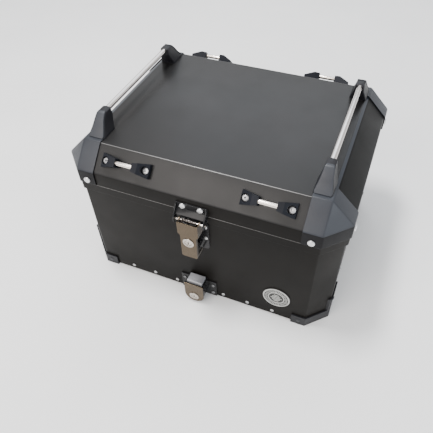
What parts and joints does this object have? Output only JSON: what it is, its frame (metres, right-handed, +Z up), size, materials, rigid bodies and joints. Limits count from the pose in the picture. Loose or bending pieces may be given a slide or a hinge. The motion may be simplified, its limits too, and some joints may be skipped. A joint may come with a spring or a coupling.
{
  "type": "top case",
  "caption": "Black aluminium motorcycle top case with a hinged lid, corner caps and guards, roof rails, tie-down loops, a key hasp and a push-button dock release.",
  "frame": {"origin": "middle of the plane the four bottom guards stand on, 2.5 mm under the centre of the carrier bolt pattern", "axes": "+Z up, the front with the two locks faces -Y, +X to the right seen from the front"},
  "size_m": [0.4348, 0.3693, 0.2813],
  "materials": {
    "black_sheet": "satin black coated aluminium sheet",
    "floor_sheet": "black coated aluminium sheet",
    "black_moulding": "moulded black plastic, fine grain",
    "black_steel": "gloss black coated steel",
    "stainless": "brushed and polished stainless steel",
    "bright_metal": "bright plated lock metal",
    "zinc_screws": "bright zinc plated steel",
    "rivets": "plain aluminium",
    "spring_steel": "dark spring steel",
    "rubber": "black rubber",
    "badge_metal": "satin aluminium with a raised rim"
  },
  "bodies": {
    "case": {"badge": "badge_metal", "case_wall": "black_sheet", "corner_guard_fl": "black_moulding", "corner_guard_fr": "black_moulding", "corner_guard_rl": "black_moulding", "corner_guard_rr": "black_moulding", "dock_slot_frames": "black_steel", "floor_mat": "rubber", "floor_tray": "floor_sheet", "guard_rivets": "rivets", "hasp_base": "black_steel", "hasp_base_rivets": "rivets", "hasp_catch": "black_steel", "hinge_leaf_body": "black_sheet", "hinge_pin": "stainless", "hinge_rivets_body": "rivets", "release_barrel": "bright_metal", "release_housing": "black_steel", "release_plate": "stainless", "release_screws": "zinc_screws", "release_spring": "spring_steel", "rim_frame": "black_sheet", "wall_rivets": "rivets"},
    "lid": {"cap_screws": "zinc_screws", "hasp_bracket": "black_steel", "hasp_pin": "stainless", "hasp_screws": "zinc_screws", "hasp_spring": "spring_steel", "hinge_leaf_lid": "black_sheet", "hinge_rivets_lid": "rivets", "lid_cap_fl": "black_moulding", "lid_cap_fr": "black_moulding", "lid_cap_rl": "black_moulding", "lid_cap_rr": "black_moulding", "lid_seal": "rubber", "lid_shell": "black_sheet", "loop_feet_fl": "black_moulding", "loop_feet_fr": "black_moulding", "loop_feet_rl": "black_moulding", "loop_feet_rr": "black_moulding", "loop_rods": "stainless", "loop_screws": "zinc_screws", "post_cover_fl": "black_moulding", "post_cover_fr": "black_moulding", "post_cover_rl": "black_moulding", "post_cover_rr": "black_moulding", "rail_post_fl": "black_moulding", "rail_post_fr": "black_moulding", "rail_post_rl": "black_moulding", "rail_post_rr": "black_moulding", "roof_rail_left": "stainless", "roof_rail_right": "stainless"},
    "hasp": {"hasp_flap": "stainless", "hasp_barrel": "bright_metal"},
    "hasp_key": {"hasp_plug": "bright_metal", "hasp_cam": "black_steel"},
    "release_push": {"release_button": "bright_metal"},
    "release_latch": {"release_tongue": "black_steel"},
    "release_key": {"release_plug": "bright_metal"}
  },
  "joints": [
    {"name": "lid_hinge", "type": "hinge", "parent": "case", "child": "lid", "pos_m": [0, 0.1744, 0.1955], "axis": [-1, 0, 0], "range_deg": [0, 95]},
    {"name": "hasp_hinge", "type": "hinge", "parent": "lid", "child": "hasp", "pos_m": [0, -0.181, 0.1865], "axis": [-1, 0, 0], "range_deg": [0, 60], "stiffness_Nm_per_rad": 0.02, "springref_deg": -11.46},
    {"name": "hasp_key_turn", "type": "hinge", "parent": "hasp", "child": "hasp_key", "pos_m": [0, -0.19, 0.151], "axis": [0, -1, 0], "range_deg": [0, 90]},
    {"name": "release_press", "type": "slide", "parent": "case", "child": "release_push", "axis": [0, 0, -1], "range_m": [0, 0.004], "stiffness_N_per_m": 600, "springref_m": -0.002, "deforming": ["release_spring"]},
    {"name": "release_slide", "type": "slide", "parent": "case", "child": "release_latch", "axis": [0, -1, 0], "range_m": [0, 0.004]},
    {"name": "release_key_turn", "type": "hinge", "parent": "case", "child": "release_key", "pos_m": [0, -0.19, 0.0155], "axis": [0, -1, 0], "range_deg": [0, 90]}
  ],
  "couplings": [
    {"joint": "release_slide", "follows": "release_press", "ratio": 1}
  ]
}
